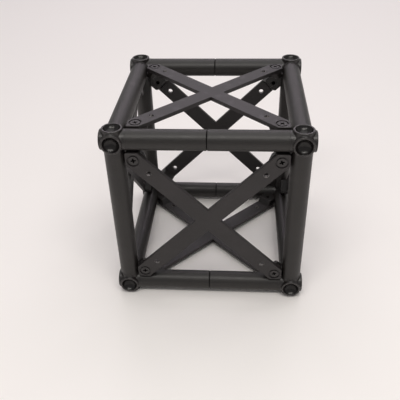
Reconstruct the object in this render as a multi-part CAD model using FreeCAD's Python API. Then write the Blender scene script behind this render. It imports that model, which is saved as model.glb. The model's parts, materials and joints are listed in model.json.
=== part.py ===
import FreeCAD, Part
import os

from FreeCAD import Rotation, Vector

# A cubic lighting truss section: eight cast corner hubs, twelve round tubes and a flat
# X-shaped brace plate on each of the six faces. Millimetres, +Z up, +Y towards the back.
# The origin is at the centre of the footprint, on the surface that the section stands on.

# Driving dimensions of the frame
TUBE_SPACING = 223.0      # between the axes of neighbouring parallel tubes
TUBE_DIAMETER = 25.4
TUBE_WALL = 2.2
TUBE_END_BREAK = 0.15
MOUTH_REACH = 15.5        # from a hub's centre out to the rim of each round mouth
TUBE_START = 16.0         # from a hub's centre in to the end of each tube

# Corner hub
ARM_RADIUS = 12.8         # short round arms, a hair larger than the tubes
ARM_BLEND = 1.3           # cast radius where the arms run into each other
RIM_OUTER_ROUND = 1.1     # rolled edge of each mouth, leaving a narrow flat to rest on
RIM_INNER_ROUND = 0.85
SHOULDER_ROUND = 0.15     # edge of each arm that meets a tube
SOCKET_RADIUS = 10.3      # of the bowl-shaped socket, at the mouth
SOCKET_DEPTH = 7.0        # from the mouth to the bottom of the bowl
SPIGOT_RADIUS = 10.4      # fits inside the tube with 0.1 mm to spare
SPIGOT_LENGTH = 24.0
SPIGOT_CORE_RADIUS = 7.6
SPIGOT_CORE_DEPTH = 20.0
SPIGOT_LEAD = 1.0         # chamfer that guides the tube on
SPIGOT_ROOT = 2.0         # how deep the spigot's root is buried in the arm

# Ear: the lug on a hub, one in each of its three planes, that a brace plate is screwed to
EAR_HALF_WIDTH = 12.0
EAR_ROOT = 12.0           # the ear starts inside the hub's arms
EAR_END = 45.3            # from the hub's centre, along the diagonal
EAR_BACK = 3.5            # how far the ear reaches inwards from the plane of the tube axes
EAR_DRAFT = 4.5           # how much shorter the ear is at its back than at its seat
EAR_SIDE_DRAFT = 0.5
EAR_CORNER_ROUND = 3.5
EAR_BACK_ROUND = 0.8
EAR_STEP = 1.5            # height of the low web that joins the ear's pad to the arms
EAR_PAD_INSET = 14.6      # from the tube axes to the raised pad under the brace plate
TUBE_CLEARANCE = 0.15     # between an ear and the tubes beside it

# Brace plate
PLATE_THICKNESS = 5.0
PLATE_OUTER_FACE = 10.5   # outwards from the plane of the tube axes
BRACE_WIDTH = 22.5
PLATE_CORNER = 13.6       # from the tube axes to the plate's straight end edges
PLATE_CORNER_ROUND = 1.2
PLATE_EDGE_BREAK = 0.4
SCREW_INSET = 23.5        # from the tube axes to a brace screw, both ways
HOLE_INSET = 41.0         # from the tube axes to an empty fixing hole, both ways
HOLE_RADIUS = 3.3

# Countersunk cross-recess screw, M6
SHANK_RADIUS = 2.95
SCREW_HOLE_RADIUS = 3.0
SCREW_LENGTH = 12.0
SCREW_POINT = 0.6
HEAD_RADIUS = 5.8
HEAD_EDGE = 1.35          # straight edge of the head, above its cone
HEAD_SUNK = 0.15          # below the plate's face
HEAD_FIT = 0.05           # between the head and its seat
GROOVE_RADIUS = 7.8       # ring sunk into the plate around each head
GROOVE_DEPTH = 1.5
RECESS_SPAN = 6.6
RECESS_FLOOR_SPAN = 2.2
RECESS_WIDTH = 1.9
RECESS_DEPTH = 3.0
RECESS_TURN = 7.0         # the screws stop at slightly different angles

# Joint at the middle of the left-to-right tubes
SEAM_RIB_WIDTH = 0.8
SEAM_RIB_RADIUS = 11.9
SEAM_END_ROUND = 0.7
SLEEVE_LENGTH = 60.0
SLEEVE_RADIUS = 10.4
SLEEVE_BORE_RADIUS = 8.4
SLEEVE_LEAD = 1.0

# Worked out from the above
HALF_SPACING = TUBE_SPACING / 2
TUBE_RADIUS = TUBE_DIAMETER / 2
TUBE_BORE_RADIUS = TUBE_RADIUS - TUBE_WALL
TUBE_LENGTH = TUBE_SPACING - 2 * TUBE_START
PLATE_INNER_FACE = PLATE_OUTER_FACE - PLATE_THICKNESS
FACE_OFFSET = HALF_SPACING + PLATE_OUTER_FACE
CUBE_CENTRE = Vector(0, 0, MOUTH_REACH + HALF_SPACING)

ORIGIN = Vector(0, 0, 0)
AXIS_X = Vector(1, 0, 0)
AXIS_Y = Vector(0, 1, 0)
AXIS_Z = Vector(0, 0, 1)

SIDES = {"left": -1, "right": 1}
DEPTHS = {"front": -1, "back": 1}
LEVELS = {"bottom": -1, "top": 1}
FACE_NORMALS = {
    "front": -AXIS_Y,
    "back": AXIS_Y,
    "left": -AXIS_X,
    "right": AXIS_X,
    "top": AXIS_Z,
    "bottom": -AXIS_Z,
}


# ------------------------------------------------------------------ helpers

def turned(points):
    """A solid of revolution about Z from (radius, height) points."""
    corners = [Vector(radius, 0, height) for radius, height in points]
    profile = Part.Face(Part.makePolygon(corners + corners[:1]))
    return profile.revolve(ORIGIN, AXIS_Z, 360)


def aimed(shape, direction):
    """A copy of the shape with its own +Z turned to a direction."""
    result = shape.copy()
    turn = FreeCAD.Placement(ORIGIN, Rotation(AXIS_Z, direction))
    result.Placement = turn.multiply(shape.Placement)
    return result


def moved(shape, offset):
    """A copy of the shape, shifted."""
    result = shape.copy()
    result.translate(offset)
    return result


def rings_around(shape, centre):
    """The shape's edges whose middle is one point, shortest first."""
    rings = [edge for edge in shape.Edges if edge.CenterOfMass.distanceToPoint(centre) < 0.01]
    return sorted(rings, key=lambda edge: edge.Length)


def save(name, shape):
    """Write one node and say how large it is."""
    if not shape.isValid():
        raise ValueError(name + " is not a valid shape")
    shape.exportStep("parts/" + name + ".step")
    print(name, len(shape.Solids), "solid(s)", round(shape.Volume / 1000, 2), "cm3")


# --------------------------------------------------------------- corner hub

def arm_block():
    """Three crossing round arms with cast blends between them, and a bowl in each mouth."""
    bar = Part.makeCylinder(ARM_RADIUS, MOUTH_REACH + TUBE_START, Vector(0, 0, -TUBE_START))
    block = bar.fuse([aimed(bar, AXIS_X), aimed(bar, AXIS_Y)]).removeSplitter()
    creases = [edge for edge in block.Edges if edge.Curve.TypeId == "Part::GeomEllipse"]
    block = block.makeFillet(ARM_BLEND, creases)
    axes = (AXIS_X, AXIS_Y, AXIS_Z)
    block = block.cut([aimed(socket(), axis) for axis in axes])
    for axis in axes:
        block = block.makeFillet(RIM_INNER_ROUND, rings_around(block, axis * MOUTH_REACH)[:1])
        block = block.makeFillet(RIM_OUTER_ROUND, rings_around(block, axis * MOUTH_REACH)[-1:])
        block = block.makeFillet(SHOULDER_ROUND, rings_around(block, axis * -TUBE_START))
    return block


def socket():
    """A ball that leaves the bowl-shaped socket of the mouth that looks along +Z."""
    ball_radius = (SOCKET_RADIUS ** 2 + SOCKET_DEPTH ** 2) / (2 * SOCKET_DEPTH)
    return Part.makeSphere(ball_radius, Vector(0, 0, MOUTH_REACH - SOCKET_DEPTH + ball_radius))


def spigot():
    """The hollow stub on a hub, pointing along -Z, that a tube slides over."""
    root = SPIGOT_ROOT - TUBE_START
    tip = -TUBE_START - SPIGOT_LENGTH
    core_top = tip + SPIGOT_CORE_DEPTH
    return turned([
        (0, root),
        (SPIGOT_RADIUS, root),
        (SPIGOT_RADIUS, tip + SPIGOT_LEAD),
        (SPIGOT_RADIUS - SPIGOT_LEAD, tip),
        (SPIGOT_CORE_RADIUS, tip),
        (SPIGOT_CORE_RADIUS, core_top),
        (0, core_top),
    ])


def ear_outline(height, end, half_width):
    """The ear's outline at one height, along +X, with its two free corners rounded."""
    turn = end - EAR_CORNER_ROUND
    side = half_width - EAR_CORNER_ROUND
    slant = EAR_CORNER_ROUND * 0.5 ** 0.5
    low_root = Vector(EAR_ROOT, -half_width, height)
    low_turn = Vector(turn, -half_width, height)
    low_middle = Vector(turn + slant, -side - slant, height)
    low_end = Vector(end, -side, height)
    high_end = Vector(end, side, height)
    high_middle = Vector(turn + slant, side + slant, height)
    high_turn = Vector(turn, half_width, height)
    high_root = Vector(EAR_ROOT, half_width, height)
    return Part.Wire([
        Part.makeLine(low_root, low_turn),
        Part.Arc(low_turn, low_middle, low_end).toShape(),
        Part.makeLine(low_end, high_end),
        Part.Arc(high_end, high_middle, high_turn).toShape(),
        Part.makeLine(high_turn, high_root),
        Part.makeLine(high_root, low_root),
    ])


def ear():
    """The lug of the hub's XY plane, reaching along the -X -Y diagonal, tapped for its screw."""
    seat = ear_outline(PLATE_INNER_FACE, EAR_END, EAR_HALF_WIDTH)
    back = ear_outline(-EAR_BACK, EAR_END - EAR_DRAFT, EAR_HALF_WIDTH - EAR_SIDE_DRAFT)
    lug = Part.makeLoft([back, seat], True, True)
    back_edges = [edge for edge in lug.Edges
                  if edge.BoundBox.ZMax < 0.01 - EAR_BACK and edge.BoundBox.XMax > EAR_ROOT + 1]
    lug = lug.makeFillet(EAR_BACK_ROUND, back_edges)
    lug.rotate(ORIGIN, AXIS_Z, 225)
    tube_space = Part.makeCylinder(TUBE_RADIUS + TUBE_CLEARANCE, TUBE_SPACING,
                                   Vector(0, 0, -TUBE_START), -AXIS_Z)
    beside_pad = Part.makeBox(TUBE_SPACING, EAR_PAD_INSET, PLATE_OUTER_FACE,
                              Vector(-TUBE_SPACING, -EAR_PAD_INSET, EAR_STEP))
    across_pad = Part.makeBox(EAR_PAD_INSET, TUBE_SPACING, PLATE_OUTER_FACE,
                              Vector(-EAR_PAD_INSET, -TUBE_SPACING, EAR_STEP))
    screw_at = Vector(-SCREW_INSET, -SCREW_INSET, PLATE_OUTER_FACE)
    return lug.cut([
        aimed(tube_space, AXIS_X),
        aimed(tube_space, AXIS_Y),
        beside_pad,
        across_pad,
        moved(screw_space(), screw_at),
    ])


def corner_hub():
    """The hub of the corner at +X +Y +Z, centred on the meeting point of its tube axes."""
    lug = ear()
    pieces = [arm_block()]
    for axis, turn in ((AXIS_X, 0), (AXIS_Y, 120), (AXIS_Z, 240)):
        # a third of a turn about the cube's long diagonal carries each plane to the next
        other = lug.copy()
        other.Placement = FreeCAD.Placement(ORIGIN, Rotation(Vector(1, 1, 1), turn))
        pieces += [aimed(spigot(), axis), other]
    return pieces[0].fuse(pieces[1:]).removeSplitter()


# -------------------------------------------------------------------- tubes

def tube(length, far_round):
    """A tube from the origin along +Z; its far end is broken or rounded over."""
    return turned([
        (TUBE_BORE_RADIUS, 0),
        (TUBE_RADIUS - TUBE_END_BREAK, 0),
        (TUBE_RADIUS, TUBE_END_BREAK),
        (TUBE_RADIUS, length - far_round),
        (TUBE_RADIUS - far_round * 0.3, length - far_round * 0.3),
        (TUBE_RADIUS - far_round, length),
        (TUBE_BORE_RADIUS, length),
    ])


def seam_sleeve():
    """The hollow sleeve inside a seam, about Z, with the rib that keeps it centred."""
    half = SLEEVE_LENGTH / 2
    rib = SEAM_RIB_WIDTH / 2
    return turned([
        (SLEEVE_BORE_RADIUS, -half),
        (SLEEVE_RADIUS - SLEEVE_LEAD, -half),
        (SLEEVE_RADIUS, SLEEVE_LEAD - half),
        (SLEEVE_RADIUS, -rib),
        (SEAM_RIB_RADIUS, -rib),
        (SEAM_RIB_RADIUS, rib),
        (SLEEVE_RADIUS, rib),
        (SLEEVE_RADIUS, half - SLEEVE_LEAD),
        (SLEEVE_RADIUS - SLEEVE_LEAD, half),
        (SLEEVE_BORE_RADIUS, half),
    ])


# -------------------------------------------------- brace plates and screws

def screw_space():
    """The room that a brace screw needs, from the plate's outer face down, about Z."""
    cone_top = HEAD_SUNK + HEAD_EDGE
    groove = Part.makeCylinder(GROOVE_RADIUS, GROOVE_DEPTH + 1, Vector(0, 0, -GROOVE_DEPTH))
    head_wall = Part.makeCylinder(HEAD_RADIUS + HEAD_FIT, cone_top + 1, Vector(0, 0, -cone_top))
    cone_depth = HEAD_RADIUS - SHANK_RADIUS
    cone = Part.makeCone(SCREW_HOLE_RADIUS, HEAD_RADIUS + HEAD_FIT, cone_depth,
                         Vector(0, 0, -cone_top - cone_depth))
    hole_depth = PLATE_OUTER_FACE + EAR_BACK + 1
    hole = Part.makeCylinder(SCREW_HOLE_RADIUS, hole_depth, Vector(0, 0, -hole_depth))
    return hole.fuse([cone, head_wall, groove])


def brace_screw():
    """One countersunk screw, about Z, with its head just under the plate's outer face."""
    cone_top = -HEAD_SUNK - HEAD_EDGE
    cone_foot = cone_top - (HEAD_RADIUS - SHANK_RADIUS)
    tip = -HEAD_SUNK - SCREW_LENGTH
    body = turned([
        (0, -HEAD_SUNK),
        (HEAD_RADIUS, -HEAD_SUNK),
        (HEAD_RADIUS, cone_top),
        (SHANK_RADIUS, cone_foot),
        (SHANK_RADIUS, tip + SCREW_POINT),
        (SHANK_RADIUS - SCREW_POINT, tip),
        (0, tip),
    ])
    top = RECESS_SPAN / 2
    floor = RECESS_FLOOR_SPAN / 2
    wing_outline = Part.makePolygon([
        Vector(-top, -RECESS_WIDTH / 2, -HEAD_SUNK),
        Vector(top, -RECESS_WIDTH / 2, -HEAD_SUNK),
        Vector(floor, -RECESS_WIDTH / 2, -HEAD_SUNK - RECESS_DEPTH),
        Vector(-floor, -RECESS_WIDTH / 2, -HEAD_SUNK - RECESS_DEPTH),
        Vector(-top, -RECESS_WIDTH / 2, -HEAD_SUNK),
    ])
    wing = Part.Face(wing_outline).extrude(Vector(0, RECESS_WIDTH, 0))
    crossing = wing.copy()
    crossing.rotate(ORIGIN, AXIS_Z, 90)
    return body.cut([wing, crossing])


def face_corners(inset):
    """The four points of one face, in its own plane, at an inset from the tube axes."""
    reach = HALF_SPACING - inset
    return [Vector(x, y, 0) for x in (-reach, reach) for y in (-reach, reach)]


def brace_plate():
    """One X plate in the XY plane, with its outer face at Z = 0."""
    diagonal = TUBE_SPACING * 2
    strip = Part.makeBox(diagonal, BRACE_WIDTH, PLATE_THICKNESS,
                         Vector(-diagonal / 2, -BRACE_WIDTH / 2, -PLATE_THICKNESS))
    rising = strip.copy()
    rising.rotate(ORIGIN, AXIS_Z, 45)
    falling = strip.copy()
    falling.rotate(ORIGIN, AXIS_Z, -45)
    size = 2 * (HALF_SPACING - PLATE_CORNER)
    square = Part.makeBox(size, size, PLATE_THICKNESS, Vector(-size / 2, -size / 2, -PLATE_THICKNESS))
    plate = rising.fuse(falling).removeSplitter().common(square)
    tip_distance = size / 2 * 2 ** 0.5
    tips = [edge for edge in plate.Edges
            if edge.BoundBox.ZLength > 1 and edge.CenterOfMass.Length > tip_distance - 1]
    plate = plate.makeFillet(PLATE_CORNER_ROUND, tips)
    outer_edges = [edge for edge in plate.Edges if edge.BoundBox.ZMin > -0.01]
    plate = plate.makeChamfer(PLATE_EDGE_BREAK, outer_edges)
    for corner in face_corners(SCREW_INSET):
        plate = plate.cut(moved(screw_space(), corner))
    for corner in face_corners(HOLE_INSET):
        plate = plate.cut(Part.makeCylinder(HOLE_RADIUS, 3 * PLATE_THICKNESS,
                                            corner - AXIS_Z * 2 * PLATE_THICKNESS))
    return plate


def on_face(shape, normal):
    """A shape made at Z = 0, put on the cube face that looks along a direction."""
    return moved(aimed(shape, normal), CUBE_CENTRE + normal * FACE_OFFSET)


# ----------------------------------------------------------------- assembly

def write_hubs():
    pattern = corner_hub()
    for level, up in LEVELS.items():
        for depth, back in DEPTHS.items():
            for side, right in SIDES.items():
                hub = pattern.copy()
                for axis, way in ((AXIS_X, right), (AXIS_Y, back), (AXIS_Z, up)):
                    if way < 0:
                        hub = hub.mirror(ORIGIN, axis)
                centre = CUBE_CENTRE + Vector(right, back, up) * HALF_SPACING
                save("hub_" + level + "_" + depth + "_" + side, moved(hub, centre))


def write_cross_tubes():
    """The left-to-right tubes, each in two halves on a sleeve."""
    half_length = TUBE_LENGTH / 2 - SEAM_RIB_WIDTH / 2
    half_tube = tube(half_length, SEAM_END_ROUND)
    for level, up in LEVELS.items():
        for depth, back in DEPTHS.items():
            middle = CUBE_CENTRE + Vector(0, back, up) * HALF_SPACING
            for side, right in SIDES.items():
                start = middle + AXIS_X * right * TUBE_LENGTH / 2
                half = moved(aimed(half_tube, AXIS_X * -right), start)
                save("cross_tube_" + level + "_" + depth + "_" + side, half)
            sleeve = moved(aimed(seam_sleeve(), AXIS_X), middle)
            save("seam_sleeve_" + level + "_" + depth, sleeve)


def write_plain_tubes():
    """The upright posts and the front-to-back tubes."""
    whole_tube = tube(TUBE_LENGTH, TUBE_END_BREAK)
    for depth, back in DEPTHS.items():
        for side, right in SIDES.items():
            foot = CUBE_CENTRE + Vector(right, back, 0) * HALF_SPACING - AXIS_Z * TUBE_LENGTH / 2
            save("post_" + depth + "_" + side, moved(whole_tube, foot))
    for level, up in LEVELS.items():
        for side, right in SIDES.items():
            start = CUBE_CENTRE + Vector(right, 0, up) * HALF_SPACING - AXIS_Y * TUBE_LENGTH / 2
            save("side_tube_" + level + "_" + side, moved(aimed(whole_tube, AXIS_Y), start))


def write_braces():
    plate = brace_plate()
    screw = brace_screw()
    for place, (name, normal) in enumerate(FACE_NORMALS.items()):
        save("brace_plate_" + name, on_face(plate, normal))
        screws = []
        for index, corner in enumerate(face_corners(SCREW_INSET)):
            stopped = screw.copy()
            stopped.rotate(ORIGIN, AXIS_Z, RECESS_TURN * (place + index))
            screws.append(on_face(moved(stopped, corner), normal))
        save("brace_screws_" + name, Part.makeCompound(screws))


os.makedirs("parts", exist_ok=True)
write_hubs()
write_cross_tubes()
write_plain_tubes()
write_braces()
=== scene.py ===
import json
import math

import bpy
from mathutils import Matrix, Vector


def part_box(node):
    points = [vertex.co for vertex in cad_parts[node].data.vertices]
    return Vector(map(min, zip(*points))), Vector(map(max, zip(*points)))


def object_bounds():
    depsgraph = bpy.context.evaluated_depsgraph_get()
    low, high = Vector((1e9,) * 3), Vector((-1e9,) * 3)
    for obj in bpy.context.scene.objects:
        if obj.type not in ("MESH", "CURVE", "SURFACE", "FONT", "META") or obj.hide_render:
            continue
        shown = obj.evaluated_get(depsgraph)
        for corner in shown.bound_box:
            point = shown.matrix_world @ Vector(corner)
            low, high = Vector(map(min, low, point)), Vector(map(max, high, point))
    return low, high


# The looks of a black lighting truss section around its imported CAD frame. Metres, +Z up.
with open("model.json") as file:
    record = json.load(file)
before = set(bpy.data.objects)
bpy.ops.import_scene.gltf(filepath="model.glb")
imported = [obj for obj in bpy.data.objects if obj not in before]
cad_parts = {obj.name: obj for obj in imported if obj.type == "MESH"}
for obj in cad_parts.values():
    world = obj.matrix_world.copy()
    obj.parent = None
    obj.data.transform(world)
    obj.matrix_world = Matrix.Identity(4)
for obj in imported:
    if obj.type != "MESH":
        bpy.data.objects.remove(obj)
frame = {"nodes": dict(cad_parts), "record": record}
cad_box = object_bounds()

# Sizes and places, read from the frame
CENTRE = (cad_box[0] + cad_box[1]) / 2
post_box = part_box("post_front_left")
HALF_SPACING = CENTRE.x - (post_box[0].x + post_box[1].x) / 2
RIM_FACE = cad_box[1].x - CENTRE.x
mounts = {mount["name"]: mount for mount in frame["record"]["mounts"]}
HOLE_RADIUS = mounts["fixing_holes_front"]["dims"]["hole_r_mm"] / 1000
HOLE_OFFSET = mounts["fixing_holes_front"]["dims"]["spacing_x_mm"] / 2000
HEAD_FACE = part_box("brace_screws_top")[1].z - CENTRE.z

# Where the paint changes
EDGE_WEAR_WIDTH = 0.0007  # of the thin paint along sharp edges
RIM_WEAR_AND_HIGHLIGHT_START = 0.0001       # how far below the rims their rubbed paint and painted highlight start to fade out
RIM_WEAR_AND_HIGHLIGHT_FADE = 0.0009
SOCKET_RADIUS = 0.0102    # of the glossier paint in the mouths, whose partly metallic lining is a painted shade
SOCKET_DEPTH = 0.009      # how far below the rims it is looked for, past the bottom of the bowls
SOCKET_FADE = 0.0005
HOLE_FADE = 0.0002
RECESS_START = 0.0002     # how far below a screw's face the painted shade in its recess starts
RECESS_FADE = 0.0003

# Colours, linear
CASTING_BLACK = (0.0074, 0.0060, 0.0058)
SOCKET_BLACK = (0.0080, 0.0066, 0.0064)
TUBE_BLACK = (0.0070, 0.0056, 0.0048)
PLATE_BLACK = (0.0098, 0.0076, 0.0082)
SCREW_BLACK = (0.0160, 0.0138, 0.0142)
# painted shade for the screws' cross recesses
RECESS_PAINTED_SHADE = (0.0015, 0.0013, 0.0013)
# worn paint on edges and flecks, also used as a painted highlight on the hub rims
WORN_PAINT_AND_HIGHLIGHT = (0.070, 0.062, 0.061)
BARE_METAL = (0.26, 0.245, 0.24)
ANODISED_BLACK = (0.0030, 0.0028, 0.0028)
FLOOR_WHITE = (0.92, 0.885, 0.865)
WORLD_WHITE = (1.0, 0.985, 0.975)

SOCKET_ROUGHNESS = 0.24
SOCKET_PAINTED_SHADE_METALLIC = 0.3

# The stage
FLOOR_SIZE = 8
WORLD_STRENGTH = 0.42

# Camera: where it stands round the middle of the section, in tube spacings
CAMERA_AZIMUTH = math.radians(4.75)
CAMERA_ELEVATION = math.radians(35.43)
CAMERA_ROLL = math.radians(-1.76)
CAMERA_DISTANCE = 3.552
CAMERA_AIM_RIGHT = -0.088
CAMERA_AIM_UP = -0.194
CAMERA_LENS = 49.03


# ---------------------------------------------------------------- materials

class Paint:
    """One material's node tree, with short calls for the nodes that it needs."""

    def __init__(self, name):
        self.material = bpy.data.materials.new(name)
        self.material.use_nodes = True
        self.tree = self.material.node_tree
        self.shader = self.tree.nodes["Principled BSDF"]
        self.place = self.tree.nodes.new("ShaderNodeTexCoord").outputs["Object"]

    def put(self, value, socket):
        """Link an output to an input, or set the input's own number or colour."""
        if isinstance(value, bpy.types.NodeSocket):
            self.tree.links.new(value, socket)
        else:
            socket.default_value = value

    def calc(self, operation, *values):
        """The result of one math node."""
        node = self.tree.nodes.new("ShaderNodeMath")
        node.operation = operation
        for value, socket in zip(values, node.inputs):
            self.put(value, socket)
        return node.outputs[0]

    def noise(self, scale, detail=2.0, stretch=(1, 1, 1)):
        """Noise from 0 to 1 whose features are about 1 / scale metres wide."""
        mapping = self.tree.nodes.new("ShaderNodeMapping")
        mapping.inputs["Scale"].default_value = stretch
        self.put(self.place, mapping.inputs["Vector"])
        node = self.tree.nodes.new("ShaderNodeTexNoise")
        node.inputs["Scale"].default_value = scale
        node.inputs["Detail"].default_value = detail
        self.put(mapping.outputs["Vector"], node.inputs["Vector"])
        return node.outputs["Fac"]

    def fade(self, value, low, high, at_low=0.0, at_high=1.0):
        """The value, carried smoothly from one range to another."""
        node = self.tree.nodes.new("ShaderNodeMapRange")
        node.interpolation_type = "SMOOTHSTEP"
        for setting, socket in zip((value, low, high, at_low, at_high), node.inputs):
            self.put(setting, socket)
        return node.outputs[0]

    def blend(self, share, first, second):
        """One colour turning into another."""
        node = self.tree.nodes.new("ShaderNodeMix")
        node.data_type = "RGBA"
        self.put(share, node.inputs["Factor"])
        for colour, socket in ((first, node.inputs["A"]), (second, node.inputs["B"])):
            self.put(colour if isinstance(colour, bpy.types.NodeSocket) else (*colour, 1), socket)
        return node.outputs["Result"]

    def bump(self, height, distance, strength=1.0, under=None):
        """A normal bent by a height, on top of another normal if one is given."""
        node = self.tree.nodes.new("ShaderNodeBump")
        node.inputs["Strength"].default_value = strength
        node.inputs["Distance"].default_value = distance
        self.put(height, node.inputs["Height"])
        if under:
            self.put(under, node.inputs["Normal"])
        return node.outputs["Normal"]

    def folded_place(self):
        """Distances from the middle of the section along X, Y and Z, the same in every corner."""
        shift = self.tree.nodes.new("ShaderNodeVectorMath")
        shift.operation = "SUBTRACT"
        self.put(self.place, shift.inputs[0])
        shift.inputs[1].default_value = CENTRE
        fold = self.tree.nodes.new("ShaderNodeVectorMath")
        fold.operation = "ABSOLUTE"
        self.put(shift.outputs[0], fold.inputs[0])
        split = self.tree.nodes.new("ShaderNodeSeparateXYZ")
        self.put(fold.outputs[0], split.inputs[0])
        return list(split.outputs)

    def round_spots(self, offset, radius, soft, beyond):
        """1 within a radius of the lines through (offset, offset) on every face, outside a depth."""
        folded = self.folded_place()
        shares = []
        for axis in range(3):
            across = [self.calc("SUBTRACT", folded[other], offset) for other in range(3) if other != axis]
            squares = [self.calc("MULTIPLY", value, value) for value in across]
            distance = self.calc("SQRT", self.calc("ADD", *squares))
            near = self.fade(distance, radius, radius + soft, 1.0, 0.0)
            outside = self.fade(folded[axis], beyond, beyond + soft)
            shares.append(self.calc("MULTIPLY", near, outside))
        return self.calc("MAXIMUM", self.calc("MAXIMUM", shares[0], shares[1]), shares[2])

    def below_face(self, face, soft):
        """0 on the outermost surfaces of the cube's six sides, 1 where it is deeper than a face."""
        folded = self.folded_place()
        outermost = self.calc("MAXIMUM", self.calc("MAXIMUM", folded[0], folded[1]), folded[2])
        return self.fade(outermost, face - soft, face, 1.0, 0.0)

    def edges(self, share):
        """1 along the sharp edges, broken up by noise."""
        bevel = self.tree.nodes.new("ShaderNodeBevel")
        bevel.samples = 4
        bevel.inputs["Radius"].default_value = EDGE_WEAR_WIDTH
        plain = self.tree.nodes.new("ShaderNodeNewGeometry")
        compare = self.tree.nodes.new("ShaderNodeVectorMath")
        compare.operation = "DOT_PRODUCT"
        self.put(bevel.outputs[0], compare.inputs[0])
        self.put(plain.outputs["Normal"], compare.inputs[1])
        edge = self.fade(compare.outputs["Value"], 0.80, 0.97, 1.0, 0.0)
        broken = self.fade(self.noise(260, 4), 0.45, 0.62)
        return self.calc("MULTIPLY", self.calc("MULTIPLY", edge, broken), share)

    def powder_coat(self, black, satin, grain, worn=0.35):
        """Satin black paint: uneven tone, orange-peel grain, handling marks and thin edges.

        satin is its roughness before handling, grain how strong the orange peel is, and worn how
        much the sharp edges show. Returns a tone, a roughness and a normal.
        """
        cloud = self.fade(self.noise(22, 3), 0.35, 0.70)
        fleck = self.fade(self.noise(1500, 2), 0.35, 0.75)
        lighter = tuple(part * 1.45 for part in black)
        tone = self.blend(cloud, black, lighter)
        tone = self.blend(self.calc("MULTIPLY", fleck, 0.22), tone, WORN_PAINT_AND_HIGHLIGHT)
        worn_edge = self.edges(worn)
        tone = self.blend(worn_edge, tone, WORN_PAINT_AND_HIGHLIGHT)
        rub = self.fade(self.noise(60, 4, (1, 1, 3)), 0.52, 0.72)
        roughness = self.fade(rub, 0.0, 1.0, satin, satin - 0.07)
        roughness = self.calc("ADD", roughness, self.calc("MULTIPLY", fleck, 0.08))
        peel = self.bump(self.noise(520, 2), 0.0002, grain)
        fine = self.bump(self.noise(2600, 1), 0.00004, grain, peel)
        return tone, roughness, fine

    def finish(self, tone, roughness, normal):
        """Wire the surface up and hand over the material."""
        self.put(tone, self.shader.inputs["Base Color"])
        self.put(roughness, self.shader.inputs["Roughness"])
        self.put(normal, self.shader.inputs["Normal"])
        return self.material


def casting_paint():
    """The hubs: black paint over a sand-cast skin, rubbed and lightened as a painted highlight at the
    rims, and glossier in the sockets, whose partly metallic lining reflects less as painted shade.
    """
    paint = Paint("hub_casting_paint")
    tone, roughness, normal = paint.powder_coat(CASTING_BLACK, satin=0.32, grain=0.35)
    cast = paint.bump(paint.noise(230, 3), 0.0004, 0.50, normal)
    # rubbed paint and painted highlight: lighter worn-paint patches on the outermost rims
    rubbed_and_highlight = paint.fade(paint.noise(340, 3), 0.42, 0.78)
    under_rims = paint.below_face(RIM_FACE - RIM_WEAR_AND_HIGHLIGHT_START, RIM_WEAR_AND_HIGHLIGHT_FADE)
    tone = paint.blend(under_rims, paint.blend(rubbed_and_highlight, tone, WORN_PAINT_AND_HIGHLIGHT), tone)
    inside = paint.round_spots(HALF_SPACING, SOCKET_RADIUS, SOCKET_FADE, RIM_FACE - SOCKET_DEPTH)
    tone = paint.blend(inside, tone, SOCKET_BLACK)
    roughness = paint.fade(inside, 0.0, 1.0, roughness, SOCKET_ROUGHNESS)
    # painted shade: the socket lining is made partly metallic so that it reflects less
    paint.put(paint.fade(inside, 0.0, 1.0, 0.0, SOCKET_PAINTED_SHADE_METALLIC), paint.shader.inputs["Metallic"])
    return paint.finish(tone, roughness, cast)


def tube_paint():
    """The tubes, all from one paint, with the strongest orange peel."""
    paint = Paint("tube_paint")
    tone, roughness, normal = paint.powder_coat(TUBE_BLACK, satin=0.42, grain=0.85)
    return paint.finish(tone, roughness, normal)


def plate_paint():
    """The flat plates, with bare metal showing on the walls of the drilled holes."""
    paint = Paint("brace_plate_paint")
    tone, roughness, normal = paint.powder_coat(PLATE_BLACK, satin=0.44, grain=0.35, worn=0.5)
    wall = paint.round_spots(HOLE_OFFSET, HOLE_RADIUS, HOLE_FADE, HALF_SPACING)
    bare = paint.calc("MULTIPLY", wall, paint.fade(paint.noise(420, 2), 0.40, 0.60))
    tone = paint.blend(bare, tone, BARE_METAL)
    return paint.finish(tone, roughness, normal)


def screw_paint():
    """The screws, black like the plates, with painted shade down in the cross recess of each head."""
    paint = Paint("screw_paint")
    tone, roughness, normal = paint.powder_coat(SCREW_BLACK, satin=0.40, grain=0.25, worn=0.7)
    # painted shade: the cross recess is made darker and metallic so that it reflects almost nothing
    recess_shade_share = paint.below_face(HEAD_FACE - RECESS_START, RECESS_FADE)
    tone = paint.blend(recess_shade_share, tone, RECESS_PAINTED_SHADE)
    paint.put(recess_shade_share, paint.shader.inputs["Metallic"])
    return paint.finish(tone, roughness, normal)


def anodised_black():
    """The sleeves inside the tubes, turned and anodised, of which a seam shows only the rib."""
    paint = Paint("sleeve_anodised")
    paint.put(1.0, paint.shader.inputs["Metallic"])
    rings = paint.noise(3000, 1, (1, 0.02, 0.02))
    tone = paint.blend(rings, ANODISED_BLACK, tuple(part * 1.6 for part in ANODISED_BLACK))
    roughness = paint.fade(rings, 0.0, 1.0, 0.45, 0.60)
    return paint.finish(tone, roughness, paint.bump(rings, 0.00003))


def floor_paper():
    """Pale matt paper with a faint cloud in its tone."""
    paint = Paint("floor_paper")
    cloud = paint.noise(3, 3)
    tone = paint.blend(cloud, FLOOR_WHITE, tuple(part * 0.985 for part in FLOOR_WHITE))
    roughness = paint.fade(cloud, 0.0, 1.0, 0.55, 0.65)
    return paint.finish(tone, roughness, paint.bump(paint.noise(900), 0.00005, 0.2))


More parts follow.
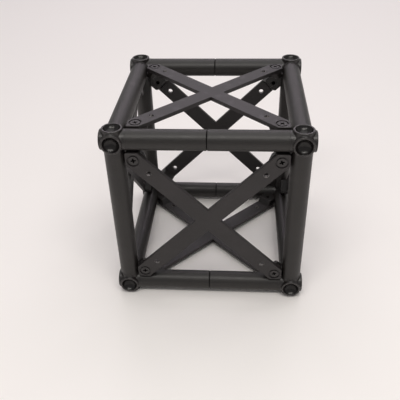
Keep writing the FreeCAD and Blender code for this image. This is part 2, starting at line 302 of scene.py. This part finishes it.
def dress_frame():
    """Give every CAD node its paint."""
    tube = tube_paint()
    paints = {
        "hub_": casting_paint(),
        "cross_tube_": tube,
        "post_": tube,
        "side_tube_": tube,
        "brace_plate_": plate_paint(),
        "brace_screws_": screw_paint(),
        "seam_sleeve_": anodised_black(),
    }
    for name, node in frame["nodes"].items():
        start = next(start for start in paints if name.startswith(start))
        node.data.materials.clear()
        node.data.materials.append(paints[start])


# -------------------------------------------------------------------- stage

def add_floor():
    """The plain surface that the section stands on."""
    bpy.ops.mesh.primitive_plane_add(size=FLOOR_SIZE, location=(CENTRE.x, CENTRE.y, cad_box[0].z))
    floor = bpy.context.object
    floor.name = "floor"
    floor.data.materials.append(floor_paper())


def add_lamp(name, place, size, power, colour):
    """A soft lamp, size (width, height), that faces the middle of the section; power in watts."""
    data = bpy.data.lights.new(name, "AREA")
    data.shape = "RECTANGLE"
    data.size, data.size_y = size
    data.energy = power
    data.color = colour
    lamp = bpy.data.objects.new(name, data)
    lamp.location = place
    lamp.rotation_mode = "QUATERNION"
    lamp.rotation_quaternion = (CENTRE - Vector(place)).to_track_quat("-Z", "Y")
    bpy.context.scene.collection.objects.link(lamp)


def add_lights():
    """A pale room, a strip lamp in front and above, a large one overhead and a strip behind."""
    world = bpy.data.worlds.new("white_room")
    world.use_nodes = True
    background = world.node_tree.nodes["Background"]
    background.inputs["Color"].default_value = (*WORLD_WHITE, 1)
    background.inputs["Strength"].default_value = WORLD_STRENGTH
    bpy.context.scene.world = world
    add_lamp("key", (0.03, -0.72, 1.42), (1.4, 0.28), 9.5, (1.0, 0.97, 0.92))
    add_lamp("overhead", (0.30, 0.90, 3.2), (3.4, 3.0), 36, (1.0, 0.98, 0.97))
    add_lamp("backdrop", (0.0, 2.2, 1.67), (2.6, 0.3), 9.5, (1.0, 0.86, 1.0))


def add_camera():
    """The camera, in front and above, aimed a little beside the middle of the section."""
    back = Vector((
        math.sin(CAMERA_AZIMUTH) * math.cos(CAMERA_ELEVATION),
        -math.cos(CAMERA_AZIMUTH) * math.cos(CAMERA_ELEVATION),
        math.sin(CAMERA_ELEVATION),
    ))
    level_right = Vector((math.cos(CAMERA_AZIMUTH), math.sin(CAMERA_AZIMUTH), 0))
    level_up = back.cross(level_right)
    right = level_right * math.cos(CAMERA_ROLL) + level_up * math.sin(CAMERA_ROLL)
    up = back.cross(right)
    spacing = 2 * HALF_SPACING
    aside = level_right * CAMERA_AIM_RIGHT + level_up * CAMERA_AIM_UP
    data = bpy.data.cameras.new("camera")
    data.sensor_width = 36
    data.lens = CAMERA_LENS
    data.clip_start = 0.01
    camera = bpy.data.objects.new("camera", data)
    turn = Matrix((right, up, back)).transposed().to_4x4()
    camera.matrix_world = Matrix.Translation(CENTRE + (aside + back * CAMERA_DISTANCE) * spacing) @ turn
    bpy.context.scene.collection.objects.link(camera)
    bpy.context.scene.camera = camera


dress_frame()
add_floor()
add_lights()
add_camera()
bpy.context.scene.view_settings.view_transform = "Standard"
